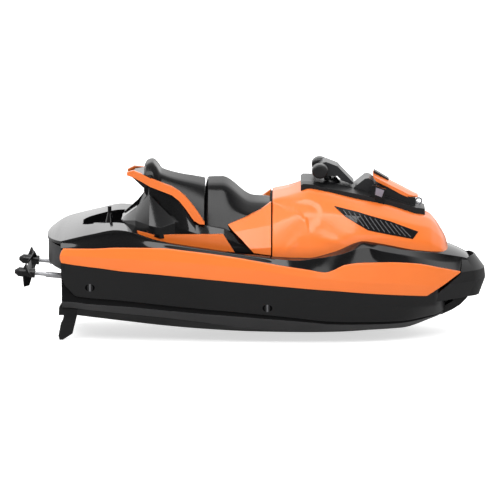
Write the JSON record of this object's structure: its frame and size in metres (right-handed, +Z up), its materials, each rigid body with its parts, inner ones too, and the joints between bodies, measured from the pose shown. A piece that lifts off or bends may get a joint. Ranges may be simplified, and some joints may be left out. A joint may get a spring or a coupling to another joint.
{
  "type": "toy motorboat, personal watercraft form, twin screw",
  "caption": "Toy motorboat shaped like a personal watercraft, with a saddle seat, turning handlebar, engine cowl and two free propellers on bare shafts at the stern.",
  "frame": {"origin": "on the floor, under the middle of the overall length and beam, with the boat parked on its fins and keel", "axes": "+X to the bow, +Y to port, +Z up"},
  "size_m": [0.249, 0.0916, 0.0928],
  "materials": {
    "hull_black": "satin",
    "deck_black": "gloss",
    "shell_orange": "satin",
    "trim_grey": "satin",
    "screw_black": "satin",
    "bright_steel": "satin",
    "chrome_ring": "polished"
  },
  "bodies": {
    "boat": {"hull": "hull_black", "fins": "hull_black", "stern_band": "trim_grey", "deck": "deck_black", "side_panels": "shell_orange", "bow_bumper": "hull_black", "cowl": "shell_orange", "vents": "hull_black", "console": "hull_black", "hood_lid": "shell_orange", "hood_spine": "hull_black", "gauge_pod": "trim_grey", "mirrors": "deck_black", "steering_boot": "hull_black", "tow_ring": "chrome_ring", "seat_base": "deck_black", "rear_quarters": "deck_black", "seat_rear": "deck_black", "seat_front": "deck_black", "knee_panels": "shell_orange", "wings": "shell_orange", "grab_rail": "deck_black", "footwell_strips": "shell_orange", "latch": "deck_black", "shaft_tubes": "bright_steel"},
    "steering": {"handlebar": "trim_grey", "grips": "hull_black"},
    "screw_starboard": {"prop_shaft_starboard": "bright_steel", "propeller_starboard": "screw_black"},
    "screw_port": {"prop_shaft_port": "bright_steel", "propeller_port": "screw_black"}
  },
  "joints": [
    {"name": "handlebar_steering", "type": "hinge", "parent": "boat", "child": "steering", "pos_m": [0.0415, 0, 0.0816], "axis": [-0.342, 0, 0.9397], "range_deg": [-15, 15]},
    {"name": "propeller_starboard_spin", "type": "hinge", "parent": "boat", "child": "screw_starboard", "pos_m": [-0.1132, -0.0187, 0.03476], "axis": [-0.9954, 0, 0.0958], "continuous": true},
    {"name": "propeller_port_spin", "type": "hinge", "parent": "boat", "child": "screw_port", "pos_m": [-0.1132, 0.0187, 0.03476], "axis": [-0.9954, 0, 0.0958], "continuous": true}
  ]
}
